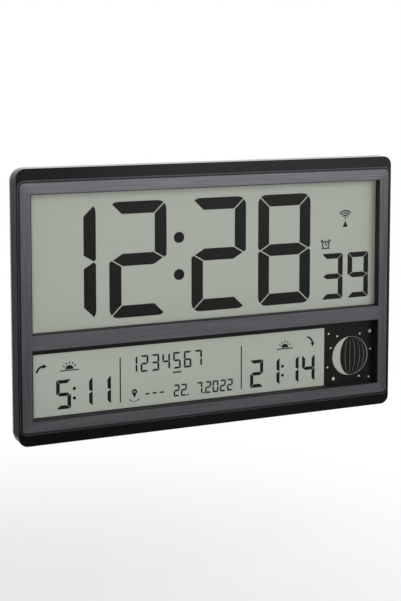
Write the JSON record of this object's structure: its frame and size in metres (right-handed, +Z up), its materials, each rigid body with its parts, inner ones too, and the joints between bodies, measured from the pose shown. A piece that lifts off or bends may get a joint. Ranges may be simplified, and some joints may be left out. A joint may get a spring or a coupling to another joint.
{
  "type": "digital wall clock",
  "caption": "Large landscape digital wall clock: black rounded case, gunmetal frame, tall and low display windows, moon panel, hinged legs, battery box and keys behind.",
  "frame": {"origin": "midpoint between the centres of the two keyhole entries, on the wall plane at the back of the clock", "axes": "+X to the right as seen from in front of the clock, +Y from the display towards the wall, +Z up"},
  "size_m": [0.399, 0.034, 0.2635],
  "materials": {
    "case_gloss": "gloss",
    "frame_gunmetal": "satin metallic lacquer",
    "clear_pane": "clear",
    "black_film": "satin",
    "display_glass": "satin",
    "holder_plastic": "matte",
    "screw_steel": "zinc plated",
    "ribbon_film": "satin",
    "board_laminate": "satin solder mask",
    "chip_resin": "matte",
    "crystal_can": "bright",
    "ferrite": "matte",
    "coil_wire": "enamelled copper",
    "contact_steel": "nickel plated",
    "battery_can": "gloss sleeve",
    "cover_matte": "fine spark texture",
    "key_plastic": "satin"
  },
  "bodies": {
    "clock": {"front_case": "case_gloss", "bezel_frame": "frame_gunmetal", "upper_lens": "clear_pane", "lower_lens": "clear_pane", "display_mask": "black_film", "upper_lcd": "display_glass", "lower_lcd": "display_glass", "lcd_holder": "holder_plastic", "holder_screws": "screw_steel", "upper_ribbon": "ribbon_film", "lower_ribbon": "ribbon_film", "main_board": "board_laminate", "board_screws": "screw_steel", "controller_chip": "chip_resin", "quartz_crystal": "crystal_can", "antenna_rod": "ferrite", "antenna_coil": "coil_wire", "buzzer": "chip_resin", "tact_switches": "chip_resin", "alarm_switch": "crystal_can", "contact_plus": "contact_steel", "contact_minus": "contact_steel", "contact_bridge": "contact_steel", "battery_upper": "battery_can", "battery_lower": "battery_can", "rear_cover": "cover_matte", "case_screws": "screw_steel", "leg_pins": "screw_steel"},
    "battery_door": {"battery_door": "cover_matte"},
    "key_1": {"key_1": "key_plastic"},
    "key_2": {"key_2": "key_plastic"},
    "key_3": {"key_3": "key_plastic"},
    "key_4": {"key_4": "key_plastic"},
    "key_5": {"key_5": "key_plastic"},
    "key_6": {"key_6": "key_plastic"},
    "alarm_slider": {"alarm_slider": "key_plastic"},
    "leg_left": {"stand_leg_left": "cover_matte"},
    "leg_right": {"stand_leg_right": "cover_matte"}
  },
  "joints": [
    {"name": "battery_door_hinge", "type": "hinge", "parent": "clock", "child": "battery_door", "pos_m": [0.066, -0.0016, -0.0876], "axis": [-1, 0, 0], "range_deg": [0, 95]},
    {"name": "key_1_press", "type": "slide", "parent": "clock", "child": "key_1", "axis": [0, -1, 0], "range_m": [0, 0.0006], "stiffness_N_per_m": 800},
    {"name": "key_2_press", "type": "slide", "parent": "clock", "child": "key_2", "axis": [0, -1, 0], "range_m": [0, 0.0006], "stiffness_N_per_m": 800},
    {"name": "key_3_press", "type": "slide", "parent": "clock", "child": "key_3", "axis": [0, -1, 0], "range_m": [0, 0.0006], "stiffness_N_per_m": 800},
    {"name": "key_4_press", "type": "slide", "parent": "clock", "child": "key_4", "axis": [0, -1, 0], "range_m": [0, 0.0006], "stiffness_N_per_m": 800},
    {"name": "key_5_press", "type": "slide", "parent": "clock", "child": "key_5", "axis": [0, -1, 0], "range_m": [0, 0.0006], "stiffness_N_per_m": 800},
    {"name": "key_6_press", "type": "slide", "parent": "clock", "child": "key_6", "axis": [0, -1, 0], "range_m": [0, 0.0006], "stiffness_N_per_m": 800},
    {"name": "alarm_slide", "type": "slide", "parent": "clock", "child": "alarm_slider", "axis": [1, 0, 0], "range_m": [0, 0.003]},
    {"name": "leg_left_hinge", "type": "hinge", "parent": "clock", "child": "leg_left", "pos_m": [-0.125, -0.0034, -0.18675], "axis": [-1, 0, 0], "range_deg": [0, 100]},
    {"name": "leg_right_hinge", "type": "hinge", "parent": "clock", "child": "leg_right", "pos_m": [0.125, -0.0034, -0.18675], "axis": [-1, 0, 0], "range_deg": [0, 100]}
  ]
}
